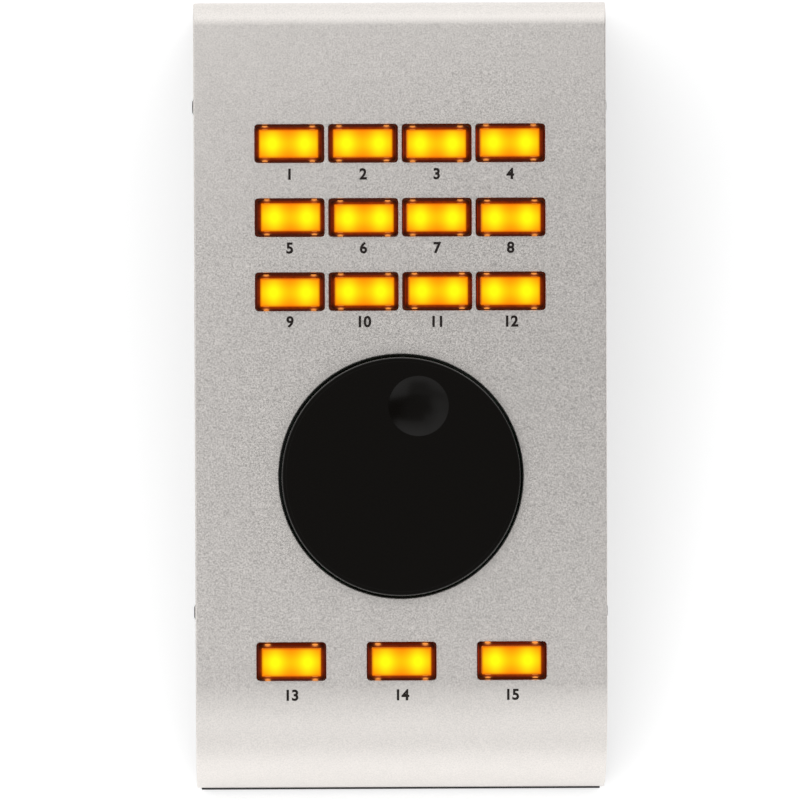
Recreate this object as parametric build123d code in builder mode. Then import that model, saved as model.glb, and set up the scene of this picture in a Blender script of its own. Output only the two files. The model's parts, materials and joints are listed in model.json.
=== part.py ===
"""Desktop remote controller: fifteen lit keys and a jog wheel in a sloping bent sheet case.

Millimetres, +Z up, +X to the user's right, +Y away from the user.
The origin is on the desk, under the middle of the case.
"""
import os
from math import cos, radians, sin

from build123d import *

os.makedirs("parts", exist_ok=True)

# Case: a bent sheet cover over a folded tray, on four rubber feet. Rubber strips lie under the
# cover's front and rear edges, and the front one shows as a thin dark line
panel_tilt = 9.0
cover_sheet = 2.0
cover_edge_round = 0.4
cover_overhang = 1.1
front_bend_radius = 27.0
front_drop = 1.0
rear_bend_radius = 5.5
tray_sheet = 1.5
tray_gap = 0.3
tray_fold_radius = 2.0
foot_height = 2.5
foot_radius = 6.0
foot_inset = 12.0
foot_edge_round = 0.6
strip_height = 1.5
strip_depth = 5.0
strip_lip = 0.35
strip_edge_round = 0.3
cut_overrun = 1.0

# Panel layout: rows and columns are shares of their pitch from the wheel's axis, and the flat
# panel reaches that far ahead of, behind and beside the outer key openings
column_pitch = 17.7
row_pitch = 17.8
rear_row_shares = (4.5, 3.5, 2.5)
rear_column_shares = (-1.5, -0.5, 0.5, 1.5)
front_row_share = -2.5
front_column_shares = (-1.5, 0, 1.5)
panel_ahead = 0.6
panel_behind = 23.8
panel_beside = 14.7

# Keys: a smoked frame with a lit lens, sliding in a rounded opening
column_bridge = 1.0
opening_depth = 9.2
opening_corner = 0.8
opening_break = 0.12
key_gap = 0.45
key_corner = 0.6
key_edge_round = 0.2
key_rim = 0.7
key_proud = 0.9
key_travel = 0.9
key_over_base = 0.3
key_floor = 1.2
light_window_width = 3.8
light_window_depth = 5.0
stem_side = 3.0
stem_length = 2.6
lens_thickness = 2.0
lens_corner = 0.35
lens_sink = 0.1
lens_slack = 0.05
lens_tab_offset = 5.6
lens_tab_width = 1.1
lens_tab_height = 0.8
lens_tab_reach = 0.15

# How far each key sits off the middle of its opening, as shares of the gap around it
key_shift_shares = (
    (-0.45, -0.1), (-0.2, 0), (-0.2, -0.35), (-0.35, 0.2),
    (0.5, 0.2), (0.35, -0.45), (-0.25, -0.2), (0.15, -0.45),
    (0, -0.45), (0.5, 0), (0.55, 0.15), (-0.2, 0),
    (0.05, -0.4), (0, -0.2), (-0.25, 0.3),
)

# Switches under the keys: moulded base, silicone dome and two side by side LEDs
base_height = 3.8
base_depth = 7.4
base_floor = 0.6
base_web = 0.75
base_wall = 1.85
stem_slack = 0.1
led_width = 2.8
led_depth = 3.0
led_height = 1.9
led_slack = 0.15
dome_wall = 0.25
dome_slack = 0.1
dome_crown_share = 0.5

# Board, hung under the panel on standoffs
board_depth = 12.0
board_thickness = 1.6
board_ahead = 7.5
board_rear_gap = 1.5
board_side_gap = 3.85
board_corner = 2.0
standoff_radius = 3.0
standoff_inset = 3.0
standoff_row_shares = (5.7, 3.0, 0.6)
front_standoff_share = 0.75

# Fasteners: three millimetre screws in the sides and in the standoffs
screw_radius = 1.5
screw_slack = 0.2
thread_slack = 0.05
screw_socket = 2.0
screw_socket_depth = 1.0
side_head_radius = 2.85
side_head_height = 1.65
side_head_rim = 0.55
side_screw_length = 5.0
side_screw_depth = 8.5
side_screw_shares = (5.0, -1.85)
board_head_radius = 2.75
board_head_height = 2.0
board_screw_bite = 6.0
standoff_bore_rest = 0.8
bracket_sheet = 2.0
bracket_length = 12.0
bracket_flange = 8.0
bracket_drop = 12.5
bracket_gap = 0.1

# Jog wheel on a brass hub, turned by hand on the encoder's shaft
wheel_radius = 28.7
wheel_gap = 0.65
wheel_hole_break = 0.3
wheel_proud = 2.6
wheel_edge_width = 0.35
wheel_edge_drop = 0.35
wheel_plate = 4.0
wheel_skirt = 2.2
wheel_skirt_drop = 5.0
wheel_boss_radius = 8.0
wheel_boss_length = 5.0
dimple_radius = 7.25
dimple_depth = 1.8
dimple_offset = 17.5
dimple_angle = 76.0
dimple_edge_round = 0.3
hub_radius = 5.5
hub_sink = 1.0
hub_slack = 0.05
hub_screw_drop = 2.6
hub_screw_length = 4.5
hub_screw_gap = 0.05

# Rotary encoder under the board
shaft_radius = 3.0
shaft_slack = 0.05
shaft_flat = 0.6
shaft_end_gap = 0.2
bushing_radius = 4.5
bushing_slack = 0.1
bushing_gap = 0.5
encoder_side = 13.4
encoder_corner = 1.0
encoder_height = 6.5
encoder_wall = 1.2
rotor_radius = 5.0
rotor_thickness = 1.5
rotor_slack = 0.4
encoder_washer_radius = 6.5
encoder_washer_thickness = 0.5
encoder_nut_flats = 11.0
encoder_nut_height = 2.0

# USB socket in the rear wall, hung under the board
usb_across = -20.0
usb_width = 12.0
usb_height = 10.8
usb_length = 16.0
usb_wall = 0.4
usb_corner = 0.5
usb_slack = 0.3
usb_mouth_width = 8.4
usb_mouth_height = 7.8
usb_mouth_corner = 1.6
usb_mouth_depth = 9.0
usb_tongue_width = 5.6
usb_tongue_height = 3.2
usb_tongue_length = 8.0
usb_contact_width = 1.0
usb_contact_length = 6.5
usb_contact_thickness = 0.2
usb_contact_offset = 1.25

# Foot switch jack in the rear wall, hung under the board
jack_across = 20.0
jack_width = 13.0
jack_height = 12.0
jack_length = 20.0
jack_bore_radius = 3.2
jack_bore_rest = 1.5
jack_nose_radius = 4.6
jack_nose_proud = 0.1
jack_hole_slack = 0.15
jack_slot_width = 2.6
jack_slot_length = 10.0
jack_slot_depth = 1.8
jack_slot_offset = 3.5
jack_contact_thickness = 0.3
jack_contact_slack = 0.3

# Parts on the underside of the board, placed in shares of the key pitches
chip_side = 12.0
chip_height = 1.6
chip_edge = 0.3
chip_place_shares = (0, 3.6)
crystal_length = 11.0
crystal_width = 4.6
crystal_height = 3.6
crystal_place_shares = (1.2, 3.6)
capacitor_radius = 3.2
capacitor_height = 7.0
capacitor_edge_round = 0.5
capacitor_place_shares = ((-1.2, 4.1), (-1.2, 3.5), (-1.7, 3.8))

# Places worked out from the sizes above
tilt = radians(panel_tilt)
opening_width = column_pitch - column_bridge
case_width = 2 * (rear_column_shares[-1] * column_pitch + opening_width / 2 + panel_beside)
tray_width = case_width - 2 * cover_overhang
bend_start = front_row_share * row_pitch - opening_depth / 2 - panel_ahead
rear_face = rear_row_shares[0] * row_pitch + opening_depth / 2 + panel_behind + rear_bend_radius
axis_height = foot_height + front_drop + front_bend_radius * cos(tilt) - bend_start * sin(tilt)
front_reach = front_bend_radius * (1 - sin(tilt)) - bend_start * cos(tilt)
rear_fall = (axis_height - foot_height + rear_face * sin(tilt)) / cos(tilt)
rear_reach = rear_face * cos(tilt) + rear_fall * sin(tilt)
case_length = front_reach + rear_reach
case_height = axis_height + rear_face * sin(tilt)
panel = Plane(
    origin=(0, (front_reach - rear_reach) / 2, axis_height),
    x_dir=(1, 0, 0),
    z_dir=(0, -sin(tilt), cos(tilt)),
)
wheel_axis = Axis(panel.origin, panel.z_dir)


def panel_point(across, along, above):
    """Point given across, up the slope of and above the panel's upper face."""
    return panel.from_local_coords((across, along, above))


def panel_plane(across, along, above):
    """Plane parallel to the panel at a point given as in panel_point."""
    return Plane(panel_point(across, along, above), x_dir=panel.x_dir, z_dir=panel.z_dir)


def section_plane(across, along, above):
    """Upright plane through a point, drawn across and above the panel, facing the user."""
    return Plane(panel_point(across, along, above), x_dir=panel.x_dir, z_dir=-panel.y_dir)


def rear_plane(across, along, above):
    """Plane parallel to the rear wall, facing the rear."""
    return Plane(panel_point(across, along, above), x_dir=-panel.x_dir, z_dir=panel.y_dir)


def side_point(along, above):
    """Point of the side view, given up the slope of and above the panel."""
    point = panel_point(0, along, above)
    return (point.Y, point.Z)


def case_outline(inset, floor, mode=Mode.ADD):
    """Closed side view of the case, that far inside the cover's outer face, down to the floor."""
    front = inset - case_length / 2
    wall = rear_face - inset
    wall_fall = (axis_height - floor + wall * sin(tilt)) / cos(tilt)
    bend_foot = (front, foot_height + front_drop)
    panel_front = side_point(bend_start, -inset)
    panel_rear = side_point(rear_face - rear_bend_radius, -inset)
    wall_top = side_point(wall, -rear_bend_radius)
    wall_foot = side_point(wall, -wall_fall)
    with BuildLine() as outline:
        Polyline(wall_foot, (front, floor), bend_foot)
        TangentArc(bend_foot, panel_front, tangent=(0, 1))
        Line(panel_front, panel_rear)
        TangentArc(panel_rear, wall_top, tangent=(cos(tilt), sin(tilt)))
        Line(wall_top, wall_foot)
    make_face(outline.edges(), mode=mode)


# Openings of the keys, and the keys themselves a little off their middles
key_openings = [
    (column * column_pitch, row * row_pitch)
    for row in rear_row_shares
    for column in rear_column_shares
]
key_openings += [(column * column_pitch, front_row_share * row_pitch) for column in front_column_shares]
key_places = [
    (across + shift_across * key_gap, along + shift_along * key_gap)
    for (across, along), (shift_across, shift_along) in zip(key_openings, key_shift_shares)
]

# Levels above the panel's upper face, downwards negative
board_top = -board_depth
board_under = board_top - board_thickness
base_top = board_top + base_height
key_under = base_top + key_over_base + key_travel
stem_under = key_under - stem_length
wheel_ceiling = wheel_proud - wheel_plate
hub_top = wheel_ceiling + hub_sink
hub_under = wheel_ceiling - wheel_boss_length
hub_screw_level = wheel_ceiling - hub_screw_drop
shaft_top = hub_top - shaft_end_gap
bushing_top = hub_under - bushing_gap

# Places of the fasteners
board_front = front_row_share * row_pitch - board_ahead
board_rear = rear_face - cover_sheet - board_rear_gap
board_width = tray_width - 2 * (tray_sheet + board_side_gap)
standoff_across = board_width / 2 - standoff_inset
standoff_places = [
    (side * standoff_across, row * row_pitch) for row in standoff_row_shares for side in (-1, 1)
]
standoff_places += [
    (side * front_standoff_share * column_pitch, front_row_share * row_pitch) for side in (-1, 1)
]
side_screw_places = [
    (side, row * row_pitch) for row in side_screw_shares for side in (-1, 1)
]

# Cover: one sheet bent over the front and the rear, with openings for keys, wheel and sockets
with BuildPart() as top_cover:
    with BuildSketch(Plane.YZ):
        case_outline(0, foot_height)
        case_outline(cover_sheet, foot_height - cut_overrun, Mode.SUBTRACT)
    extrude(amount=case_width / 2, both=True)
    cut_sides = top_cover.faces().sort_by(Axis.X)
    fillet(cut_sides[0].edges() + cut_sides[-1].edges(), cover_edge_round)
    with BuildSketch(panel.offset(cut_overrun)):
        with Locations(*key_openings):
            RectangleRounded(opening_width, opening_depth, opening_corner)
        Circle(wheel_radius + wheel_gap)
    extrude(amount=-cover_sheet - 2 * cut_overrun, mode=Mode.SUBTRACT)
    upper_face = top_cover.faces().filter_by(panel).sort_by(wheel_axis)[-1]
    opening_wires = upper_face.inner_wires().sort_by(SortBy.LENGTH)
    chamfer(opening_wires[-1].edges(), wheel_hole_break)
    chamfer([edge for wire in opening_wires[:-1] for edge in wire.edges()], opening_break)
    with BuildSketch(rear_plane(usb_across, rear_face + cut_overrun, board_under - usb_height / 2)):
        RectangleRounded(usb_width + 2 * usb_slack, usb_height + 2 * usb_slack, usb_corner + usb_slack)
    extrude(amount=-cover_sheet - 2 * cut_overrun, mode=Mode.SUBTRACT)
    with BuildSketch(rear_plane(jack_across, rear_face + cut_overrun, board_under - jack_height / 2)):
        Circle(jack_nose_radius + jack_hole_slack)
    extrude(amount=-cover_sheet - 2 * cut_overrun, mode=Mode.SUBTRACT)
top_cover.part.label = "top_cover"
export_step(top_cover.part, "parts/top_cover.step")

# Tray: a floor folded up into two cheeks that follow the inside of the cover
with BuildPart() as base_tray:
    with BuildSketch(Plane.YZ):
        case_outline(cover_sheet + tray_gap, foot_height)
    extrude(amount=tray_width / 2, both=True)
    with BuildSketch(Plane.XY.offset(foot_height + tray_sheet)):
        Rectangle(tray_width - 2 * tray_sheet, case_length)
    extrude(amount=case_height, mode=Mode.SUBTRACT)
    fillet(base_tray.edges().filter_by(Axis.Y).group_by(Axis.Z)[1], tray_fold_radius - tray_sheet)
    fillet(base_tray.edges().filter_by(Axis.Y).group_by(Axis.Z)[0], tray_fold_radius)
    with BuildSketch(Plane.YZ.offset(-tray_width / 2 - cut_overrun)):
        with Locations(*[side_point(row * row_pitch, -side_screw_depth) for row in side_screw_shares]):
            Circle(screw_radius + screw_slack)
    extrude(amount=tray_width + 2 * cut_overrun, mode=Mode.SUBTRACT)
base_tray.part.label = "base_tray"
export_step(base_tray.part, "parts/base_tray.step")

# Brackets: folded angles welded under the panel, tapped for the side screws
bracket_face = tray_width / 2 - tray_sheet - bracket_gap
with BuildPart() as cover_brackets:
    for side, along in side_screw_places:
        with BuildSketch(section_plane(side * bracket_face, along, -cover_sheet)):
            with BuildLine():
                Polyline(
                    (0, 0),
                    (-side * bracket_flange, 0),
                    (-side * bracket_flange, -bracket_sheet),
                    (-side * bracket_sheet, -bracket_sheet),
                    (-side * bracket_sheet, -bracket_drop),
                    (0, -bracket_drop),
                    close=True,
                )
            make_face()
        extrude(amount=bracket_length / 2, both=True)
    with BuildSketch(Plane.YZ.offset(-bracket_face - cut_overrun)):
        with Locations(*[side_point(row * row_pitch, -side_screw_depth) for row in side_screw_shares]):
            Circle(screw_radius + thread_slack)
    extrude(amount=2 * (bracket_face + cut_overrun), mode=Mode.SUBTRACT)
cover_brackets.part.label = "cover_brackets"
export_step(cover_brackets.part, "parts/cover_brackets.step")

# Side screws: low domed heads with a hex socket, seated on the tray's cheeks
with BuildPart() as side_screws:
    for side, along in side_screw_places:
        seat = Plane(
            panel_point(side * tray_width / 2, along, -side_screw_depth),
            x_dir=panel.y_dir,
            z_dir=(side, 0, 0),
        )
        profile = Plane(seat.origin, x_dir=seat.x_dir, z_dir=-seat.y_dir)
        with BuildSketch(profile):
            with BuildLine():
                head_rim = (side_head_radius, side_head_rim)
                head_top = (0, side_head_height)
                Polyline(
                    head_top,
                    (0, -side_screw_length),
                    (screw_radius, -side_screw_length),
                    (screw_radius, 0),
                    (side_head_radius, 0),
                    head_rim,
                )
                TangentArc(head_top, head_rim, tangent=(1, 0))
            make_face()
        revolve(axis=Axis(seat.origin, seat.z_dir))
        with BuildSketch(seat.offset(side_head_height + cut_overrun)):
            RegularPolygon(screw_socket / 2, side_count=6, major_radius=False)
        extrude(amount=-screw_socket_depth - cut_overrun, mode=Mode.SUBTRACT)
side_screws.part.label = "side_screws"
export_step(side_screws.part, "parts/side_screws.step")

# Feet: round rubber pads stuck under the tray
tray_front = cover_sheet + tray_gap - case_length / 2
tray_rear = case_length / 2 - (cover_sheet + tray_gap) / cos(tilt)
with BuildPart() as rubber_feet:
    with BuildSketch(Plane.XY):
        with Locations(*[
            (side * (tray_width / 2 - foot_inset), row)
            for side in (-1, 1)
            for row in (tray_front + foot_inset, tray_rear - foot_inset)
        ]):
            Circle(foot_radius)
    extrude(amount=foot_height)
    fillet(rubber_feet.edges().group_by(Axis.Z)[0], foot_edge_round)
rubber_feet.part.label = "rubber_feet"
export_step(rubber_feet.part, "parts/rubber_feet.step")

# Edge strips: flat rubber stuck under the tray's front and rear, just longer than the cover above
strip_reach = case_length / 2 + strip_lip
strip_spans = ((-strip_reach, tray_front + strip_depth), (tray_rear - strip_depth, strip_reach))
with BuildPart() as edge_strips:
    with BuildSketch(Plane.XY.offset(foot_height - strip_height)):
        for strip_front, strip_rear in strip_spans:
            with Locations((0, (strip_front + strip_rear) / 2)):
                Rectangle(tray_width, strip_rear - strip_front)
    extrude(amount=strip_height)
    fillet(edge_strips.edges().group_by(Axis.Z)[0], strip_edge_round)
edge_strips.part.label = "edge_strips"
export_step(edge_strips.part, "parts/edge_strips.step")

# Board: drilled for the screws and the encoder's bushing
with BuildPart() as main_board:
    with BuildSketch(panel_plane(0, (board_front + board_rear) / 2, board_under)):
        RectangleRounded(board_width, board_rear - board_front, board_corner)
    extrude(amount=board_thickness)
    with BuildSketch(panel_plane(0, 0, board_under - cut_overrun)):
        with Locations(*standoff_places):
            Circle(screw_radius + screw_slack)
        Circle(bushing_radius + bushing_slack)
    extrude(amount=board_thickness + 2 * cut_overrun, mode=Mode.SUBTRACT)
main_board.part.label = "main_board"
export_step(main_board.part, "parts/main_board.step")

# Standoffs: tapped posts pressed into the underside of the panel
with BuildPart() as board_standoffs:
    with BuildSketch(panel_plane(0, 0, board_top)):
        with Locations(*standoff_places):
            Circle(standoff_radius)
    extrude(amount=board_depth - cover_sheet)
    with BuildSketch(panel_plane(0, 0, board_top)):
        with Locations(*standoff_places):
            Circle(screw_radius + thread_slack)
    extrude(amount=board_screw_bite + standoff_bore_rest, mode=Mode.SUBTRACT)
board_standoffs.part.label = "board_standoffs"
export_step(board_standoffs.part, "parts/board_standoffs.step")

# Board screws: pan heads under the board
with BuildPart() as board_screws:
    with BuildSketch(panel_plane(0, 0, board_under - board_head_height)):
        with Locations(*standoff_places):
            Circle(board_head_radius)
    extrude(amount=board_head_height)
    with BuildSketch(panel_plane(0, 0, board_under)):
        with Locations(*standoff_places):
            Circle(screw_radius)
    extrude(amount=board_thickness + board_screw_bite)
    with BuildSketch(panel_plane(0, 0, board_under - board_head_height)):
        with Locations(*standoff_places):
            RegularPolygon(screw_socket / 2, side_count=6, major_radius=False)
    extrude(amount=screw_socket_depth, mode=Mode.SUBTRACT)
board_screws.part.label = "board_screws"
export_step(board_screws.part, "parts/board_screws.step")

# Switch bases: a square well for the key's stem between two pockets for the LEDs
well_side = stem_side + 2 * stem_slack
pocket_width = led_width + 2 * led_slack
pocket_depth = led_depth + 2 * led_slack
led_offset = well_side / 2 + base_web + pocket_width / 2
led_places = [
    (across + side * led_offset, along) for across, along in key_places for side in (-1, 1)
]
with BuildPart() as switch_bases:
    with BuildSketch(panel_plane(0, 0, board_top)):
        with Locations(*key_places):
            Rectangle(2 * led_offset + pocket_width + 2 * base_wall, base_depth)
        with Locations(*led_places):
            Rectangle(pocket_width, pocket_depth, mode=Mode.SUBTRACT)
    extrude(amount=base_height)
    with BuildSketch(panel_plane(0, 0, board_top + base_floor)):
        with Locations(*key_places):
            Rectangle(well_side, well_side)
    extrude(amount=base_height, mode=Mode.SUBTRACT)
switch_bases.part.label = "switch_bases"
export_step(switch_bases.part, "parts/switch_bases.step")

# Domes: silicone cups that push each key up and close its contact
dome_foot = board_top + base_floor
dome_height = stem_under - dome_foot
dome_radius = well_side / 2 - dome_slack
crown_radius = dome_radius * dome_crown_share
with BuildPart() as key_domes:
    for across, along in key_places:
        with BuildSketch(section_plane(across, along, dome_foot)):
            with BuildLine():
                Polyline(
                    (0, dome_height),
                    (crown_radius, dome_height),
                    (dome_radius, 0),
                    (dome_radius - dome_wall, 0),
                    (crown_radius - dome_wall, dome_height - dome_wall),
                    (0, dome_height - dome_wall),
                    close=True,
                )
            make_face()
        revolve(axis=Axis(panel_point(across, along, 0), panel.z_dir))
key_domes.part.label = "key_domes"
export_step(key_domes.part, "parts/key_domes.step")

# LEDs: two amber chips under each lens
with BuildPart() as key_leds:
    with BuildSketch(panel_plane(0, 0, board_top)):
        with Locations(*led_places):
            Rectangle(led_width, led_depth)
    extrude(amount=led_height)
key_leds.part.label = "key_leds"
export_step(key_leds.part, "parts/key_leds.step")

# Keys: each smoked frame carries its lens by four tabs in slots and presses its dome with a stem
key_width = opening_width - 2 * key_gap
key_depth = opening_depth - 2 * key_gap
lens_width = key_width - 2 * key_rim - 2 * lens_slack
lens_depth = key_depth - 2 * key_rim - 2 * lens_slack
lens_under = key_proud - lens_sink - lens_thickness
tab_span = key_depth + 2 * lens_tab_reach
for number, (across, along) in enumerate(key_places, 1):
    tab_places = [(-lens_tab_offset, 0), (lens_tab_offset, 0)]
    with BuildPart() as key_cap:
        with BuildSketch(panel_plane(across, along, key_under)):
            RectangleRounded(key_width, key_depth, key_corner)
        extrude(amount=key_proud - key_under)
        fillet(key_cap.faces().sort_by(wheel_axis)[-1].edges(), key_edge_round)
        with BuildSketch(panel_plane(across, along, key_under + key_floor)):
            RectangleRounded(key_width - 2 * key_rim, key_depth - 2 * key_rim, lens_corner)
        extrude(amount=key_proud - key_under, mode=Mode.SUBTRACT)
        with BuildSketch(panel_plane(across, along, key_under - cut_overrun)):
            with Locations((-led_offset, 0), (led_offset, 0)):
                Rectangle(light_window_width, light_window_depth)
        extrude(amount=key_floor + 2 * cut_overrun, mode=Mode.SUBTRACT)
        with BuildSketch(panel_plane(across, along, lens_under - lens_slack)):
            with Locations(*tab_places):
                Rectangle(lens_tab_width + 2 * lens_slack, key_depth + 2 * cut_overrun)
        extrude(amount=lens_tab_height + 2 * lens_slack, mode=Mode.SUBTRACT)
        with BuildSketch(panel_plane(across, along, stem_under)):
            Rectangle(stem_side, stem_side)
        extrude(amount=stem_length)
    key_cap.part.label = f"key_cap_{number:02d}"
    export_step(key_cap.part, f"parts/key_cap_{number:02d}.step")

    with BuildPart() as key_lens:
        with BuildSketch(panel_plane(across, along, lens_under)):
            RectangleRounded(lens_width, lens_depth, lens_corner)
        extrude(amount=lens_thickness)
        with BuildSketch(panel_plane(across, along, lens_under)):
            with Locations(*tab_places):
                Rectangle(lens_tab_width, tab_span)
        extrude(amount=lens_tab_height)
    key_lens.part.label = f"key_lens_{number:02d}"
    export_step(key_lens.part, f"parts/key_lens_{number:02d}.step")

# Encoder body: a closed can under the board with room for the rotor
rotor_room = rotor_thickness + 2 * rotor_slack
rotor_top = board_under - encoder_wall - rotor_slack
with BuildPart() as encoder_body:
    with BuildSketch(panel_plane(0, 0, board_under - encoder_height)):
        RectangleRounded(encoder_side, encoder_side, encoder_corner)
    extrude(amount=encoder_height)
    with BuildSketch(panel_plane(0, 0, board_under - encoder_wall - rotor_room)):
        Circle(rotor_radius + rotor_slack)
    extrude(amount=rotor_room, mode=Mode.SUBTRACT)
    with BuildSketch(panel_plane(0, 0, board_under - encoder_wall - rotor_room)):
        Circle(shaft_radius + shaft_slack)
    extrude(amount=encoder_wall + rotor_room + cut_overrun, mode=Mode.SUBTRACT)
encoder_body.part.label = "encoder_body"
export_step(encoder_body.part, "parts/encoder_body.step")

# Encoder bushing: threaded neck that guides the shaft through the board
with BuildPart() as encoder_bushing:
    with BuildSketch(panel_plane(0, 0, board_under)):
        Circle(bushing_radius)
        Circle(shaft_radius + shaft_slack, mode=Mode.SUBTRACT)
    extrude(amount=bushing_top - board_under)
encoder_bushing.part.label = "encoder_bushing"
export_step(encoder_bushing.part, "parts/encoder_bushing.step")

# Washer and nut that clamp the encoder to the board
with BuildPart() as encoder_washer:
    with BuildSketch(panel_plane(0, 0, board_top)):
        Circle(encoder_washer_radius)
        Circle(bushing_radius + bushing_slack, mode=Mode.SUBTRACT)
    extrude(amount=encoder_washer_thickness)
encoder_washer.part.label = "encoder_washer"
export_step(encoder_washer.part, "parts/encoder_washer.step")

with BuildPart() as encoder_nut:
    with BuildSketch(panel_plane(0, 0, board_top + encoder_washer_thickness)):
        RegularPolygon(encoder_nut_flats / 2, side_count=6, major_radius=False)
        Circle(bushing_radius + thread_slack, mode=Mode.SUBTRACT)
    extrude(amount=encoder_nut_height)
encoder_nut.part.label = "encoder_nut"
export_step(encoder_nut.part, "parts/encoder_nut.step")

# Shaft: flatted at the top for the hub's screw, with the encoder's rotor at its foot
with BuildPart() as encoder_shaft:
    with BuildSketch(panel_plane(0, 0, rotor_top - rotor_thickness)):
        Circle(rotor_radius)
    extrude(amount=rotor_thickness)
    with BuildSketch(panel_plane(0, 0, rotor_top - rotor_thickness)):
        Circle(shaft_radius)
    extrude(amount=shaft_top - rotor_top + rotor_thickness)
    with BuildSketch(panel_plane(2 * shaft_radius - shaft_flat, 0, hub_under)):
        Rectangle(2 * shaft_radius, 2 * shaft_radius)
    extrude(amount=shaft_top - hub_under + cut_overrun, mode=Mode.SUBTRACT)
encoder_shaft.part.label = "encoder_shaft"
export_step(encoder_shaft.part, "parts/encoder_shaft.step")

# Hub: brass insert in the wheel's boss, drilled across for its screw
screw_way = Plane(panel_point(0, 0, hub_screw_level), x_dir=panel.y_dir, z_dir=panel.x_dir)
with BuildPart() as wheel_hub:
    with BuildSketch(panel_plane(0, 0, hub_under)):
        Circle(hub_radius)
        Circle(shaft_radius + hub_slack, mode=Mode.SUBTRACT)
    extrude(amount=hub_top - hub_under)
    with BuildSketch(screw_way):
        Circle(screw_radius + thread_slack)
    extrude(amount=hub_radius + cut_overrun, mode=Mode.SUBTRACT)
wheel_hub.part.label = "wheel_hub"
export_step(wheel_hub.part, "parts/wheel_hub.step")

# Grub screw that bears on the shaft's flat
with BuildPart() as hub_screw:
    with BuildSketch(screw_way.offset(shaft_radius - shaft_flat + hub_screw_gap)):
        Circle(screw_radius)
    extrude(amount=hub_screw_length)
    with BuildSketch(screw_way.offset(shaft_radius - shaft_flat + hub_screw_gap + hub_screw_length)):
        RegularPolygon(screw_socket / 2, side_count=6, major_radius=False)
    extrude(amount=-screw_socket_depth, mode=Mode.SUBTRACT)
hub_screw.part.label = "hub_screw"
export_step(hub_screw.part, "parts/hub_screw.step")

# Wheel: a moulded cap with a bevelled edge, a boss for the hub and a dimple for one finger
dimple_ball = (dimple_radius ** 2 + dimple_depth ** 2) / (2 * dimple_depth)
dimple_across = dimple_offset * cos(radians(dimple_angle))
dimple_along = dimple_offset * sin(radians(dimple_angle))
skirt_inside = wheel_radius - wheel_skirt
with BuildPart() as jog_wheel:
    with BuildSketch(section_plane(0, 0, 0)):
        with BuildLine():
            Polyline(
                (0, wheel_proud),
                (wheel_radius - wheel_edge_width, wheel_proud),
                (wheel_radius, wheel_proud - wheel_edge_drop),
                (wheel_radius, -wheel_skirt_drop),
                (skirt_inside, -wheel_skirt_drop),
                (skirt_inside, wheel_ceiling),
                (wheel_boss_radius, wheel_ceiling),
                (wheel_boss_radius, hub_under),
                (hub_radius, hub_under),
                (hub_radius, hub_top),
                (0, hub_top),
                close=True,
            )
        make_face()
    revolve(axis=wheel_axis)
    with BuildSketch(screw_way):
        Circle(screw_radius + screw_slack)
    extrude(amount=wheel_boss_radius + cut_overrun, mode=Mode.SUBTRACT)
    with Locations(panel_point(dimple_across, dimple_along, wheel_proud + dimple_ball - dimple_depth)):
        Sphere(dimple_ball, mode=Mode.SUBTRACT)
    dimple_face = jog_wheel.faces().filter_by(GeomType.SPHERE)
    fillet(dimple_face.edges().filter_by(GeomType.CIRCLE), dimple_edge_round)
jog_wheel.part.label = "jog_wheel"
export_step(jog_wheel.part, "parts/jog_wheel.step")

# USB socket: drawn metal shell flush with the rear wall
usb_level = board_under - usb_height / 2
with BuildPart() as usb_shell:
    with BuildSketch(rear_plane(usb_across, rear_face, usb_level)):
        RectangleRounded(usb_width, usb_height, usb_corner)
        Rectangle(usb_width - 2 * usb_wall, usb_height - 2 * usb_wall, mode=Mode.SUBTRACT)
    extrude(amount=-usb_length)
usb_shell.part.label = "usb_shell"
export_step(usb_shell.part, "parts/usb_shell.step")

# USB insulator: moulded block with the keyed mouth and the tongue
with BuildPart() as usb_insulator:
    with BuildSketch(rear_plane(usb_across, rear_face, usb_level)):
        Rectangle(usb_width - 2 * usb_wall, usb_height - 2 * usb_wall)
    extrude(amount=-usb_length)
    with BuildSketch(rear_plane(usb_across, rear_face, usb_level)) as usb_mouth:
        Rectangle(usb_mouth_width, usb_mouth_height)
        chamfer(usb_mouth.vertices().group_by(Axis.Y)[-1], usb_mouth_corner)
    extrude(amount=-usb_mouth_depth, mode=Mode.SUBTRACT)
    with BuildSketch(rear_plane(usb_across, rear_face - usb_mouth_depth, usb_level)):
        Rectangle(usb_tongue_width, usb_tongue_height)
    extrude(amount=usb_tongue_length)
usb_insulator.part.label = "usb_insulator"
export_step(usb_insulator.part, "parts/usb_insulator.step")

# USB contacts: two strips on each face of the tongue
with BuildPart() as usb_contacts:
    with BuildSketch(rear_plane(usb_across, rear_face - usb_mouth_depth, usb_level)):
        contact_level = (usb_tongue_height + usb_contact_thickness) / 2
        with GridLocations(2 * usb_contact_offset, 2 * contact_level, 2, 2):
            Rectangle(usb_contact_width, usb_contact_thickness)
    extrude(amount=usb_contact_length)
usb_contacts.part.label = "usb_contacts"
export_step(usb_contacts.part, "parts/usb_contacts.step")

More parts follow.
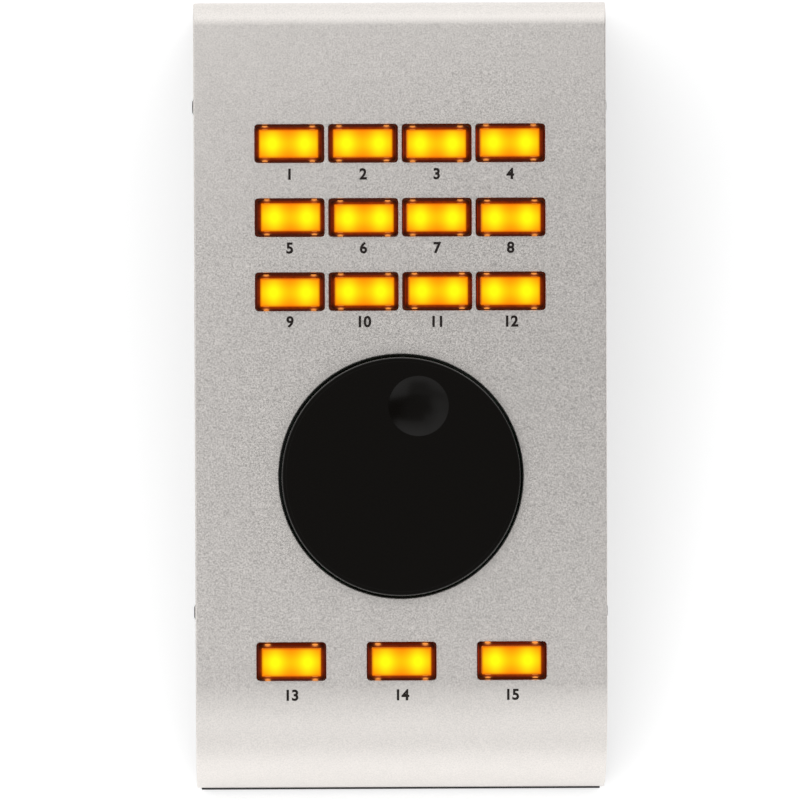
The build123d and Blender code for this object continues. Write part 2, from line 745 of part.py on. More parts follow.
# Jack body: moulded block behind the wall, with a round nose through it and a plain bore
jack_level = board_under - jack_height / 2
jack_front = rear_face - cover_sheet
nose_length = cover_sheet + jack_nose_proud
with BuildPart() as jack_body:
    with BuildSketch(rear_plane(jack_across, jack_front, jack_level)):
        Rectangle(jack_width, jack_height)
    extrude(amount=-jack_length)
    with BuildSketch(rear_plane(jack_across, jack_front, jack_level)):
        Circle(jack_nose_radius)
    extrude(amount=nose_length)
    with BuildSketch(rear_plane(jack_across, jack_front + nose_length, jack_level)):
        Circle(jack_bore_radius)
    extrude(amount=jack_bore_rest - jack_length - nose_length, mode=Mode.SUBTRACT)
    with BuildSketch(panel_plane(jack_across, jack_front - jack_length / 2, jack_level - jack_height / 2)):
        with Locations((-jack_slot_offset, 0), (jack_slot_offset, 0)):
            Rectangle(jack_slot_width, jack_slot_length)
    extrude(amount=jack_slot_depth, mode=Mode.SUBTRACT)
jack_body.part.label = "jack_body"
export_step(jack_body.part, "parts/jack_body.step")

# Jack contacts: leaf springs in the slots of the body
slot_roof = jack_level - jack_height / 2 + jack_slot_depth
with BuildPart() as jack_contacts:
    with BuildSketch(panel_plane(jack_across, jack_front - jack_length / 2, slot_roof)):
        with Locations((-jack_slot_offset, 0), (jack_slot_offset, 0)):
            Rectangle(jack_slot_width - 2 * jack_contact_slack, jack_slot_length - 2 * jack_contact_slack)
    extrude(amount=-jack_contact_thickness)
jack_contacts.part.label = "jack_contacts"
export_step(jack_contacts.part, "parts/jack_contacts.step")

# Parts soldered under the board
with BuildPart() as controller_chip:
    chip_across, chip_along = chip_place_shares
    with BuildSketch(panel_plane(chip_across * column_pitch, chip_along * row_pitch, board_under)):
        Rectangle(chip_side, chip_side)
    extrude(amount=-chip_height)
    chamfer(controller_chip.faces().sort_by(wheel_axis)[0].edges(), chip_edge)
controller_chip.part.label = "controller_chip"
export_step(controller_chip.part, "parts/controller_chip.step")

with BuildPart() as clock_crystal:
    crystal_across, crystal_along = crystal_place_shares
    with BuildSketch(panel_plane(crystal_across * column_pitch, crystal_along * row_pitch, board_under)):
        SlotOverall(crystal_length, crystal_width)
    extrude(amount=-crystal_height)
clock_crystal.part.label = "clock_crystal"
export_step(clock_crystal.part, "parts/clock_crystal.step")

with BuildPart() as filter_capacitors:
    with BuildSketch(panel_plane(0, 0, board_under)):
        with Locations(*[
            (across * column_pitch, along * row_pitch) for across, along in capacitor_place_shares
        ]):
            Circle(capacitor_radius)
    extrude(amount=-capacitor_height)
    fillet(filter_capacitors.edges().group_by(wheel_axis)[0], capacitor_edge_round)
filter_capacitors.part.label = "filter_capacitors"
export_step(filter_capacitors.part, "parts/filter_capacitors.step")
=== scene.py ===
"""Desktop remote controller: a bent sheet case, fifteen lit keys and a jog wheel."""
import json
from math import atan2, cos, hypot, pi, radians, sin, sqrt, tan

import bmesh
import bpy
from mathutils import Matrix, Vector


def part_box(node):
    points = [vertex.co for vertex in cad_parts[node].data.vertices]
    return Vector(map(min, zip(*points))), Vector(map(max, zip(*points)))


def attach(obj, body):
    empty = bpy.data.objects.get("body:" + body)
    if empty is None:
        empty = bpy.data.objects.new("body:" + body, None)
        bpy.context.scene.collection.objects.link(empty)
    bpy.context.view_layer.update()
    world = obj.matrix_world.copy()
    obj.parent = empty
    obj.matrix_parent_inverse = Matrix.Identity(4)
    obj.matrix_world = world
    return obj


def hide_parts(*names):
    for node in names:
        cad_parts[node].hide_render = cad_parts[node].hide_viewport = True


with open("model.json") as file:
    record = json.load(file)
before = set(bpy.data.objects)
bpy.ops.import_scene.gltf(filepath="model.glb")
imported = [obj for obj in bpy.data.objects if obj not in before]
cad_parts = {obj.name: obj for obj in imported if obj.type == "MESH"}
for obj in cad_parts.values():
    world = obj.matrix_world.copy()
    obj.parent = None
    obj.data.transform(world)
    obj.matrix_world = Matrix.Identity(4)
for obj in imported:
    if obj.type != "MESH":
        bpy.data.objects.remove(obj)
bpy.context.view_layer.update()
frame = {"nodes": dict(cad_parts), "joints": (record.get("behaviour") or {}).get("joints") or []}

# Cover: one 2 mm aluminium sheet, cut for keys, wheel and sockets and bent over a large front
# radius and a small rear one. Its edges are eased, and it is bead blasted and clear anodised.
mm = 0.001
wheel_turn = next(joint for joint in frame["joints"] if joint["name"] == "wheel_turn")
panel_normal = Vector(wheel_turn["axis"])
tilt = atan2(-panel_normal.y, panel_normal.z)
panel_place = Matrix.Translation(wheel_turn["pos_m"]) @ Matrix.Rotation(tilt, 4, "X")
panel_in_mm = panel_place @ Matrix.Scale(mm, 4)
desk_in_panel = panel_in_mm.inverted()


def panel_box(node):
    """Lowest and highest corner of a solid, across, along and above the panel, in millimetres."""
    corners = [desk_in_panel @ vertex.co for vertex in frame["nodes"][node].data.vertices]
    return [Vector(pick(corner[axis] for corner in corners) for axis in range(3)) for pick in (min, max)]


class Wire:
    """A node's socket. Sums, products and powers of wires add their Math nodes to the tree."""

    def __init__(self, tree, socket=None):
        self.tree, self.socket = tree, socket

    def node(self, kind, settings=None, sockets=None, output=0):
        """Adds any node: its settings first, then the values or links of its sockets."""
        added = self.tree.nodes.new(kind)
        for name, value in (settings or {}).items():
            setattr(added, name, value)
        for name, value in (sockets or {}).items():
            if isinstance(value, Wire):
                self.tree.links.new(value.socket, added.inputs[name])
            else:
                added.inputs[name].default_value = value
        return Wire(self.tree, added.outputs[output] if added.outputs else None)

    def out(self, name):
        """Another output of the same node."""
        return Wire(self.tree, self.socket.node.outputs[name])

    def math(self, operation, *values):
        return self.node("ShaderNodeMath", {"operation": operation}, dict(enumerate(values)))

    def __add__(self, other):
        return self.math("ADD", self, other)

    def __sub__(self, other):
        return self.math("SUBTRACT", self, other)

    def __rsub__(self, other):
        return self.math("SUBTRACT", other, self)

    def __mul__(self, other):
        return self.math("MULTIPLY", self, other)

    def __truediv__(self, other):
        return self.math("DIVIDE", self, other)

    def __rtruediv__(self, other):
        return self.math("DIVIDE", other, self)

    def __pow__(self, other):
        return self.math("POWER", self, other)

    __radd__ = __add__
    __rmul__ = __mul__

    def clamped(self):
        return self.math("MINIMUM", self.math("MAXIMUM", self, 0), 1)

    def bell(self, width):
        """Falls smoothly from one at zero to nearly nothing two widths away."""
        return self.math("EXPONENT", (self / width) ** 2 * -1)


def finish(name, fixed, varied):
    """A material: fixed values go straight onto the shader, varied ones come from the pattern."""
    made = bpy.data.materials.new(name)
    made.use_nodes = True
    shader = made.node_tree.nodes["Principled BSDF"]
    for socket, value in fixed.items():
        shader.inputs[socket].default_value = value
    start = Wire(made.node_tree)
    start.place = start.node("ShaderNodeTexCoord", output="Object")
    for socket, wire in varied(start).items():
        made.node_tree.links.new(wire.socket, shader.inputs[socket])
    return made


def speckle(start, size, detail=2):
    """Even grain between nought and one, with spots of about that size in millimetres."""
    return start.node("ShaderNodeTexNoise", {"noise_dimensions": "3D"}, {
        "Vector": start.place, "Scale": 1 / (size * mm), "Detail": detail,
    })


def shades(start, share, dark, light):
    """Colour between two shades."""
    return start.node("ShaderNodeMix", {"data_type": "RGBA"}, {
        "Factor": share.clamped(), "A": (*dark, 1), "B": (*light, 1),
    }, output="Result")


def relief(start, height, depth, strength):
    """Surface normal of a relief that deep, in millimetres."""
    return start.node("ShaderNodeBump", None, {
        "Height": height, "Distance": depth * mm, "Strength": strength,
    }, output="Normal")


def blasted(start):
    pit_size, cloud_size = 0.36, 6.0
    pit_tone, cloud_tone, pit_roughness = 1.7, 0.25, 0.42
    dull, bright = (0.7, 0.67, 0.641), (0.85, 0.816, 0.785)
    pits = speckle(start, pit_size, detail=0) - 0.5
    clouds = speckle(start, cloud_size) - 0.5
    return {
        "Base Color": shades(start, 0.5 + pits * pit_tone + clouds * cloud_tone, dull, bright),
        "Roughness": 0.48 + pits * pit_roughness,
    }


cover_silver = finish("cover_silver", {"Metallic": 1.0}, blasted)

cover_width = 99.2
cover_sheet = 2.0
cover_edge, cover_edge_steps = 0.4, 4
front_bend, front_bend_steps = 27.0, 36
front_drop = 1.0
rear_bend, rear_bend_steps = 5.5, 16
bend_start = -49.7
rear_face = 114.0
cover_foot = 2.5
key_grid_across, key_grid_along = 17.7, 17.8
key_opening, key_opening_steps = (16.7, 9.2, 0.8), 5
key_opening_ease = 0.12
wheel_hole, wheel_hole_steps = 29.35, 40
wheel_hole_ease = 0.3
usb_opening, usb_opening_steps = (12.6, 11.4, 0.8), 4
jack_hole, jack_hole_steps = 4.75, 12
socket_ease = 0.15
opening_ease_steps = 3


def rounded_outline(width, depth, corner, steps):
    """Closed anticlockwise outline of a rounded rectangle, or of a circle."""
    apart = 1e-6
    points = []
    for quarter, (side, end) in enumerate(((1, 1), (-1, 1), (-1, -1), (1, -1))):
        for step in range(steps + 1):
            angle = pi / 2 * (quarter + step / steps)
            point = (
                side * (width / 2 - corner) + corner * cos(angle),
                end * (depth / 2 - corner) + corner * sin(angle),
            )
            if not points or hypot(point[0] - points[-1][0], point[1] - points[-1][1]) > apart:
                points.append(point)
    if hypot(points[0][0] - points[-1][0], points[0][1] - points[-1][1]) < apart:
        points.pop()
    return points


def disc(radius):
    """Width, depth and corner of a round outline."""
    return 2 * radius, 2 * radius, radius


def eased_edge(ease, steps):
    """Quarter round from a face into the edge beside it: pairs of inset and depth."""
    turns = [pi / 2 * step / steps for step in range(steps + 1)]
    return [(ease - ease * sin(turn), ease - ease * cos(turn)) for turn in turns]


axis_height = wheel_turn["pos_m"][2] / mm
stations = []
for step in range(front_bend_steps + 1):
    turn = (pi / 2 - tilt) * (1 - step / front_bend_steps)
    along, above = bend_start - front_bend * sin(turn), front_bend * (cos(turn) - 1)
    stations.append((along, above, -sin(turn), cos(turn)))
toe_along, toe_above, *toe_facing = stations[0]
toe = toe_along - front_drop * sin(tilt), toe_above - front_drop * cos(tilt), *toe_facing
stations.insert(0, toe)
panel_span = len(stations) - 1
for step in range(rear_bend_steps + 1):
    turn = pi / 2 * step / rear_bend_steps
    along, above = rear_face - rear_bend + rear_bend * sin(turn), rear_bend * (cos(turn) - 1)
    stations.append((along, above, sin(turn), cos(turn)))
wall_span = len(stations) - 1
wall_foot = -(axis_height - cover_foot + rear_face * sin(tilt)) / cos(tilt)
stations.append((rear_face, wall_foot, 1, -tan(tilt)))

cover_mesh = bmesh.new()
round_down = eased_edge(cover_edge, cover_edge_steps)
half_loop = [(cover_width / 2 - inset, depth) for inset, depth in round_down]
half_loop += [(cover_width / 2 - inset, cover_sheet - depth) for inset, depth in reversed(round_down)]
loops = []
for along, above, facing_along, facing_above in stations:
    ring = half_loop + [(-across, depth) for across, depth in reversed(half_loop)]
    loops.append([
        cover_mesh.verts.new((across, along - depth * facing_along, above - depth * facing_above))
        for across, depth in ring
    ])
under_side = len(half_loop) - 1
upper_side = 2 * len(half_loop) - 1
for span, (one, two) in enumerate(zip(loops, loops[1:])):
    for place in range(len(one)):
        if span in (panel_span, wall_span) and place in (under_side, upper_side):
            continue
        after = (place + 1) % len(one)
        cover_mesh.faces.new((one[place], one[after], two[after], two[place]))
cover_mesh.faces.new(loops[0])
cover_mesh.faces.new(loops[-1])


def joined_edge(one, two):
    return cover_mesh.edges.get((one, two)) or cover_mesh.edges.new((one, two))


def cut_openings(span, openings, spot):
    """Closes both faces of a flat span round its openings, each with an eased upper edge."""
    rims = {upper_side: [], under_side: []}
    for (width, depth, corner), ease, steps, (across, along) in openings:
        levels = eased_edge(ease, opening_ease_steps) + [(0, cover_sheet)]
        rings = []
        for inset, level in levels:
            outline = rounded_outline(width + 2 * inset, depth + 2 * inset, corner + inset, steps)
            rings.append([
                cover_mesh.verts.new(spot(across + x, along + y, level)) for x, y in outline
            ])
        for one, two in zip(rings, rings[1:]):
            for place in range(len(one)):
                after = (place + 1) % len(one)
                cover_mesh.faces.new((one[place], one[after], two[after], two[place]))
        for side, ring in ((upper_side, rings[0]), (under_side, rings[-1])):
            rims[side] += [joined_edge(one, two) for one, two in zip(ring, ring[1:] + ring[:1])]
    for side, edges in rims.items():
        after = (side + 1) % len(loops[span])
        one, two = loops[span], loops[span + 1]
        corners = [one[side], one[after], two[after], two[side]]
        edges += [joined_edge(here, there) for here, there in zip(corners, corners[1:] + corners[:1])]
        bmesh.ops.triangle_fill(cover_mesh, use_beauty=True, edges=edges)


full_row = (-1.5, -0.5, 0.5, 1.5)
key_columns = {4.5: full_row, 3.5: full_row, 2.5: full_row, -2.5: (-1.5, 0, 1.5)}
key_openings = [
    (column * key_grid_across, row * key_grid_along)
    for row, columns in key_columns.items() for column in columns
]
panel_openings = [
    (key_opening, key_opening_ease, key_opening_steps, place) for place in key_openings
]
panel_openings.append((disc(wheel_hole), wheel_hole_ease, wheel_hole_steps, (0, 0)))
cut_openings(panel_span, panel_openings, lambda across, along, depth: (across, along, -depth))
usb_low, usb_high = panel_box("usb_shell")
jack_low, jack_high = panel_box("jack_body")
usb_place = ((usb_low.x + usb_high.x) / 2, (usb_low.z + usb_high.z) / 2)
jack_place = ((jack_low.x + jack_high.x) / 2, (jack_low.z + jack_high.z) / 2)
wall_openings = [
    (usb_opening, socket_ease, usb_opening_steps, usb_place),
    (disc(jack_hole), socket_ease, jack_hole_steps, jack_place),
]
cut_openings(wall_span, wall_openings, lambda across, above, depth: (across, rear_face - depth, above))


def plain_mesh(name, shape, material, place=panel_in_mm):
    """Turns a worked shape into a finished mesh in the object's own frame."""
    weld, crease = 1e-5, radians(35)
    bmesh.ops.remove_doubles(shape, verts=shape.verts, dist=weld)
    bmesh.ops.recalc_face_normals(shape, faces=shape.faces)
    mesh = bpy.data.meshes.new(name)
    shape.to_mesh(mesh)
    shape.free()
    mesh.transform(place)
    mesh.polygons.foreach_set("use_smooth", [True] * len(mesh.polygons))
    mesh.set_sharp_from_angle(angle=crease)
    mesh.materials.clear()
    mesh.materials.append(material)
    return mesh


def show(name, mesh, body, material_slot, *solids):
    """Puts a finished mesh in the scene, on its body and in place of its solids."""
    shown = bpy.data.objects.new(name, mesh)
    bpy.context.scene.collection.objects.link(shown)
    level = shown.modifiers.new("even_faces", "WEIGHTED_NORMAL")
    level.keep_sharp = True
    level.weight = 100
    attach(shown, body)
    if solids:
        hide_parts(*solids)


cover = plain_mesh("cover", cover_mesh, cover_silver)
show("cover", cover, "chassis", "cover_silver", "top_cover")


# Brackets, standoffs and screws: zinc plated steel angles welded under the panel, nickel plated
# posts pressed into it, and machine screws that hold the board up against the posts.
def dress(node, material):
    """Gives a solid that is shown as it is its own finish."""
    slots = frame["nodes"][node].data.materials
    slots.clear()
    slots.append(material)


def metal(name, dark, light, roughness, grain, metallic=1.0):
    """Plated or turned metal with fine wear, in spots of that grain in millimetres."""
    wear_roughness, wear_depth, wear_strength = 0.2, 0.01, 0.4

    def pattern(start):
        spots = speckle(start, grain, detail=4)
        return {
            "Base Color": shades(start, spots, dark, light),
            "Roughness": roughness + (spots - 0.5) * wear_roughness,
            "Normal": relief(start, spots, wear_depth, wear_strength),
        }
    return finish(name, {"Metallic": metallic}, pattern)


zinc_plate = metal("zinc_plate", (0.46, 0.46, 0.47), (0.7, 0.7, 0.69), 0.36, 0.9)
nickel_plate = metal("nickel_plate", (0.52, 0.5, 0.47), (0.72, 0.7, 0.66), 0.26, 0.7)
dress("cover_brackets", zinc_plate)
dress("board_screws", zinc_plate)
dress("board_standoffs", nickel_plate)


# Board: glass fibre under green solder mask, with tracks that lift the mask a little.
# The chip, crystal and capacitors are soldered to its underside, and a painted red glow on the mask
# stands in for the LEDs' light under the keys.
up_slope = panel_place.to_3x3() @ Vector((0, 1, 0))


def solder_mask(start):
    track_pitch, track_share, track_slope = 2.6, 0.12, 12
    track_depth, track_strength = 0.04, 0.6
    keys_from, keys_fade = 36 * mm, 2 * mm
    tracks = start.node("ShaderNodeTexVoronoi", {"feature": "DISTANCE_TO_EDGE"}, {
        "Vector": start.place, "Scale": 1 / (track_pitch * mm),
    })
    ridge = ((track_share - tracks) * track_slope).clamped()
    along_slope = start.node("ShaderNodeVectorMath", {"operation": "DOT_PRODUCT"}, {
        0: start.place, 1: up_slope,
    }, "Value") - up_slope.dot(panel_place.translation)
    # Painted glow: the mask emits dim red light where it lies under the keys, more than 36 mm before or
    # behind the wheel's axis.
    led_glow_under_keys = ((start.math("ABSOLUTE", along_slope) - keys_from) / keys_fade).clamped()
    return {
        "Base Color": shades(start, ridge, (0.008, 0.07, 0.03), (0.02, 0.16, 0.07)),
        "Emission Color": shades(start, led_glow_under_keys, (0, 0, 0), (0.055, 0.005, 0.0005)),
        "Roughness": 0.3 + speckle(start, 1.5) * 0.15,
        "Normal": relief(start, ridge, track_depth, track_strength),
    }


def plastic(name, dark, light, roughness, grain, fixed=None):
    """Moulded plastic or rubber with a fine eroded texture of that grain in millimetres."""
    texture_roughness, texture_depth, texture_strength = 0.14, 0.02, 0.4

    def pattern(start):
        texture = speckle(start, grain, detail=3)
        return {
            "Base Color": shades(start, texture, dark, light),
            "Roughness": roughness + (texture - 0.5) * texture_roughness,
            "Normal": relief(start, texture, texture_depth, texture_strength),
        }
    return finish(name, fixed or {}, pattern)


board_green = finish("board_green", {"Coat Weight": 0.3, "Emission Strength": 1.0}, solder_mask)
chip_black = plastic("chip_black", (0.012, 0.012, 0.013), (0.03, 0.03, 0.032), 0.5, 0.2)
crystal_can = metal("crystal_can", (0.55, 0.55, 0.56), (0.75, 0.75, 0.74), 0.24, 1.2)
capacitor_sleeve = plastic("capacitor_sleeve", (0.012, 0.012, 0.03), (0.03, 0.03, 0.06), 0.28, 0.6)
dress("main_board", board_green)
dress("controller_chip", chip_black)
dress("clock_crystal", crystal_can)
dress("filter_capacitors", capacitor_sleeve)


# Switches: satin black moulded bases with a silicone dome and two amber LEDs each.
# The LEDs are lit, so their windows glow under the lenses.
def led_window(start):
    spots = speckle(start, 0.8)
    return {
        "Base Color": shades(start, spots, (0.8, 0.5, 0.12), (0.95, 0.72, 0.3)),
        "Emission Color": shades(start, spots, (1, 0.42, 0.03), (1, 0.6, 0.08)),
    }


# Painted glow: the black bases emit a faint red light that stands in for the LEDs' light inside the
# case.
switch_black = plastic("switch_black", (0.01, 0.01, 0.01), (0.022, 0.022, 0.022), 0.46, 0.25, {
    "Emission Color": (0.05, 0.007, 0, 1), "Emission Strength": 1.0,
})
dome_silicone = plastic("dome_silicone", (0.42, 0.43, 0.42), (0.56, 0.57, 0.56), 0.6, 0.4)
led_amber = finish("led_amber", {"Roughness": 0.3, "Emission Strength": 2.0}, led_window)
dress("switch_bases", switch_black)
dress("key_domes", dome_silicone)
dress("key_leds", led_amber)


# Keys: frames moulded in smoked brown plastic round amber lenses, which the LEDs light from below.
# That light is painted on as glow in the lenses and frames. Four tabs snap each lens into slots in its
# frame, and their lit ends show in the gap.
def ring_stack():
    """Tree that stacks rings into one closed skin. Each point of the profile gives a ring: its x is
    how far the ring stands outside the outline, its y the ring's share of it and its z its height.
    Attributes of the profile shift a ring sideways or draw it to a hexagon."""
    tree = bpy.data.node_groups.new("ring_stack", "GeometryNodeTree")
    face = tree.interface
    face.new_socket("Profile", in_out="INPUT", socket_type="NodeSocketGeometry")
    for name in ("Width", "Depth", "Corner"):
        face.new_socket(name, in_out="INPUT", socket_type="NodeSocketFloat")
    face.new_socket("Corner Steps", in_out="INPUT", socket_type="NodeSocketInt")
    for name in ("Shift Way", "Middle"):
        face.new_socket(name, in_out="INPUT", socket_type="NodeSocketVector")
    face.new_socket("Finish", in_out="INPUT", socket_type="NodeSocketMaterial")
    face.new_socket("Skin", in_out="OUTPUT", socket_type="NodeSocketGeometry")
    start = Wire(tree)
    given = start.node("NodeGroupInput")
    sheet = start.node("GeometryNodeCurvePrimitiveQuadrilateral", None, {
        "Width": given.out("Width"), "Height": given.out("Depth"),
    })
    outline = start.node("GeometryNodeFilletCurve", {"mode": "POLY"}, {
        "Curve": sheet, "Count": given.out("Corner Steps"), "Radius": given.out("Corner"),
    })
    profile = given.out("Profile")
    rings = start.node("GeometryNodeAttributeDomainSize", {"component": "MESH"}, {0: profile})
    around = start.node("GeometryNodeAttributeDomainSize", {"component": "CURVE"}, {0: outline})
    grid = start.node("GeometryNodeMeshGrid", None, {
        "Vertices X": around + 1, "Vertices Y": rings, "Size X": 1, "Size Y": 1,
    })
    index = start.node("GeometryNodeInputIndex")
    ring = start.math("MODULO", index, rings)
    spoke = start.math("MODULO", start.math("FLOOR", index / rings), around)
    position = start.node("GeometryNodeInputPosition")

    def sampled(source, kind, value, place):
        return start.node("GeometryNodeSampleIndex", {"data_type": kind}, {
            "Geometry": source, "Value": value, "Index": place,
        })

    def parts(vector):
        return start.node("ShaderNodeSeparateXYZ", None, {0: vector})

    def named(name):
        return start.node("GeometryNodeInputNamedAttribute", {"data_type": "FLOAT"}, {"Name": name})

    station = parts(sampled(profile, "FLOAT_VECTOR", position, ring))
    shift = sampled(profile, "FLOAT", named("shift"), ring)
    flats = sampled(profile, "FLOAT", named("flats"), ring)
    spot = parts(sampled(outline, "FLOAT_VECTOR", position, spoke))
    tangent = start.node("GeometryNodeInputTangent")
    heading = parts(sampled(outline, "FLOAT_VECTOR", tangent, spoke))
    x, y = spot.out("X"), spot.out("Y")
    outward_x, outward_y = heading.out("Y"), 0 - heading.out("X")
    outside = start.math("SIGN", outward_x * x + outward_y * y)
    angle = start.math("ARCTAN2", y, x)
    sector = start.math("FLOORED_MODULO", angle, pi / 3) - pi / 6
    drawn = 1 + flats * (cos(pi / 6) / start.math("COSINE", sector) - 1)
    share = station.out("Y") * drawn
    way = parts(given.out("Shift Way"))
    placed = start.node("ShaderNodeCombineXYZ", None, {
        "X": (x + outward_x * outside * station.out("X")) * share + way.out("X") * shift,
        "Y": (y + outward_y * outside * station.out("X")) * share + way.out("Y") * shift,
        "Z": station.out("Z"),
    })
    weld = 1e-4
    skin = start.node("GeometryNodeSetPosition", None, {"Geometry": grid, "Position": placed})
    skin = start.node("GeometryNodeMergeByDistance", None, {"Geometry": skin, "Distance": weld})
    skin = start.node("GeometryNodeStoreNamedAttribute", {
        "data_type": "FLOAT_VECTOR", "domain": "POINT",
    }, {"Geometry": skin, "Name": "own_place", "Value": position})
    skin = start.node("GeometryNodeTransform", None, {
        "Geometry": skin, "Translation": given.out("Middle"),
    })
    skin = start.node("GeometryNodeSetMaterial", None, {
        "Geometry": skin, "Material": given.out("Finish"),
    })
    start.node("NodeGroupOutput", None, {"Skin": skin})
    return tree


ring_tree = ring_stack()


def worked(source, tree, **inputs):
    """Evaluates a tree on a mesh, with its named inputs, and gives the plain mesh that comes out."""
    carrier = bpy.data.objects.new("carrier", source)
    bpy.context.scene.collection.objects.link(carrier)
    modifier = carrier.modifiers.new("work", "NODES")
    modifier.node_group = tree
    for item in tree.interface.items_tree:
        name = item.name.replace(" ", "_").lower()
        if item.in_out == "INPUT" and name in inputs:
            modifier[item.identifier] = inputs[name]
    seen = bpy.context.evaluated_depsgraph_get()
    seen.update()
    made = bpy.data.meshes.new_from_object(carrier.evaluated_get(seen))
    carrier.modifiers.remove(modifier)
    bpy.data.objects.remove(carrier)
    return made


def stacked(profile, size, steps, material, middle=(0, 0, 0), shift_way=(1, 0, 0)):
    """Stack of rings as a worked shape, in millimetres: its profile gives out, share and height,
    and may add a sideways shift and how far the ring is drawn to a hexagon."""
    rings = bpy.data.meshes.new("profile")
    rings.from_pydata([row[:3] for row in profile], [], [])
    for name, place in (("shift", 3), ("flats", 4)):
        column = rings.attributes.new(name, "FLOAT", "POINT")
        column.data.foreach_set("value", [row[place] if len(row) > place else 0 for row in profile])
    width, depth, corner = size
    made = worked(
        rings, ring_tree, width=width, depth=depth, corner=corner, corner_steps=steps,
        middle=middle, shift_way=shift_way, finish=material,
    )
    shape = bmesh.new()
    shape.from_mesh(made)
    bpy.data.meshes.remove(made)
    return shape


def together(*shapes):
    """Several worked shapes as one."""
    whole, *others = shapes
    for other in others:
        mesh = bpy.data.meshes.new("part")
        other.to_mesh(mesh)
        other.free()
        whole.from_mesh(mesh)
        bpy.data.meshes.remove(mesh)
    return whole


lens_size, lens_steps = (14.3, 6.8, 0.35), 4
lens_half_width, lens_half_depth = lens_size[0] / 2, lens_size[1] / 2
led_offset = 3.9
tab_offset, tab_reach = 5.7, 4.05


def own_place(start):
    """Across, along and above within one piece, in millimetres."""
    return start.node("ShaderNodeSeparateXYZ", None, {
        0: start.node("ShaderNodeAttribute", {"attribute_name": "own_place"}, None, "Vector"),
    })


def from_middle(start):
    """How far a point lies beside, along from and above the key's middle, in millimetres."""
    place = own_place(start)
    beside, along = (start.math("ABSOLUTE", place.out(name)) for name in "XY")
    return beside, along, place.out("Z")


def from_lens_edge(start, beside, along):
    """How far a point lies outside the lens, in millimetres."""
    return start.math("MAXIMUM", beside - lens_half_width, along - lens_half_depth)


def lit_lens(start):
    spot_width, spot_depth, band_depth, rim_width = 2.1, 3.6, 2.7, 0.8
    tab_level, tab_slope = 0.6, 6
    base_green, band_green, spot_green, rim_shade = 0.15, 0.37, 0.52, 0.7
    tab_green, tab_blue = 0.36, 0.07
    # Painted glow: the lens emits the LEDs' light, with hot spots over the two LEDs, a brighter middle
    # band and painted shade towards its rim. The tab ends glow a paler orange.
    beside, along, above = from_middle(start)
    spot = (beside - led_offset).bell(spot_width) * along.bell(spot_depth)
    rim = (from_lens_edge(start, beside, along) / rim_width + 1).clamped() ** 2
    tab = ((tab_level - above) * tab_slope).clamped()
    glow = base_green + band_green * along.bell(band_depth) + spot * spot_green
    colour = start.node("ShaderNodeCombineColor", {"mode": "RGB"}, {
        "Red": 1.02 - rim * 0.5 * (1 - tab),
        "Green": glow * (1 - rim * rim_shade) * (1 - tab) + tab * tab_green,
        "Blue": spot * 0.004 + tab * tab_blue,
    })
    mottle = speckle(start, 0.4)
    return {
        "Emission Color": colour,
        "Base Color": shades(start, mottle, (0.1, 0.025, 0.0), (0.16, 0.045, 0.0)),
        "Roughness": 0.28 + mottle * 0.12,
    }


def smoked_frame(start):
    frame_reach, flank_from, flank_slope = 0.75, 0.66, 12
    corner_beside, corner_along, corner_width = 7.7, 4, 1.1
    edge_from, edge_width = 0.45, 0.3
    led_width, leak_width, leak_depth = 4.2, 0.6, 0.24
    # Painted glow and shade: the smoked frame emits a dim red light all over, which is strongest beside
    # the lens and over each LED. Its flanks glow red to light the hole walls and the panel beside the
    # key. Its corners and long edges are painted darker as shade, and the tab ends glow in their slots.
    beside, along, _ = from_middle(start)
    outside = from_lens_edge(start, beside, along)
    near_lens = 1 - (outside / frame_reach).clamped()
    near_led = (beside - led_offset).bell(led_width)
    flank_glow = ((outside - flank_from) * flank_slope).clamped()
    corner = (beside - corner_beside).bell(corner_width) * (along - corner_along).bell(corner_width)
    long_edge_shade = ((along - (lens_half_depth + edge_from)) / edge_width).clamped()
    tab_glow = (beside - tab_offset).bell(leak_width) * (along - tab_reach).bell(leak_depth)
    blotch = speckle(start, 0.9)
    glow = near_lens * (0.55 + near_led * 0.45) * (0.7 + blotch * 0.6)
    shade = (0.75 + blotch * 0.5) * (1 - corner * 0.9) * (1 - long_edge_shade * 0.65)
    colour = start.node("ShaderNodeCombineColor", {"mode": "RGB"}, {
        "Red": (0.075 + glow * 0.26 + flank_glow * 0.2) * shade + tab_glow * 0.8,
        "Green": (0.003 + glow * 0.036 + flank_glow * 0.012) * shade + tab_glow * 0.28,
        "Blue": tab_glow * 0.06,
    })
    return {
        "Base Color": shades(start, blotch, (0.004, 0.001, 0.0004), (0.012, 0.003, 0.001)),
        "Emission Color": colour,
        "Roughness": 0.24 + blotch * 0.14,
    }


key_amber = finish("key_amber", {"Emission Strength": 1.0, "Specular IOR Level": 0.08}, lit_lens)
key_smoke = finish("key_smoke", {"Emission Strength": 1.0, "Specular IOR Level": 0.05}, smoked_frame)
frame_size, frame_steps, frame_rim = (15.8, 8.3, 0.6), 5, 0.7
frame_under, frame_top, frame_floor = -7.0, 0.9, -5.8
frame_round, frame_lip = 0.2, 0.08
stem_size, stem_steps, stem_under = (3.0, 3.0, 0.3), 3, -9.6
lens_under, lens_top, lens_round = -1.2, 0.8, 0.15
tab_size, tab_steps, tab_top = (1.3, 8.6, 0.1), 2, 0.4


def block(under, top):
    """Profile of a plain block between two heights."""
    return [(0, 0, under), (0, 1, under), (0, 1, top), (0, 0, top)]


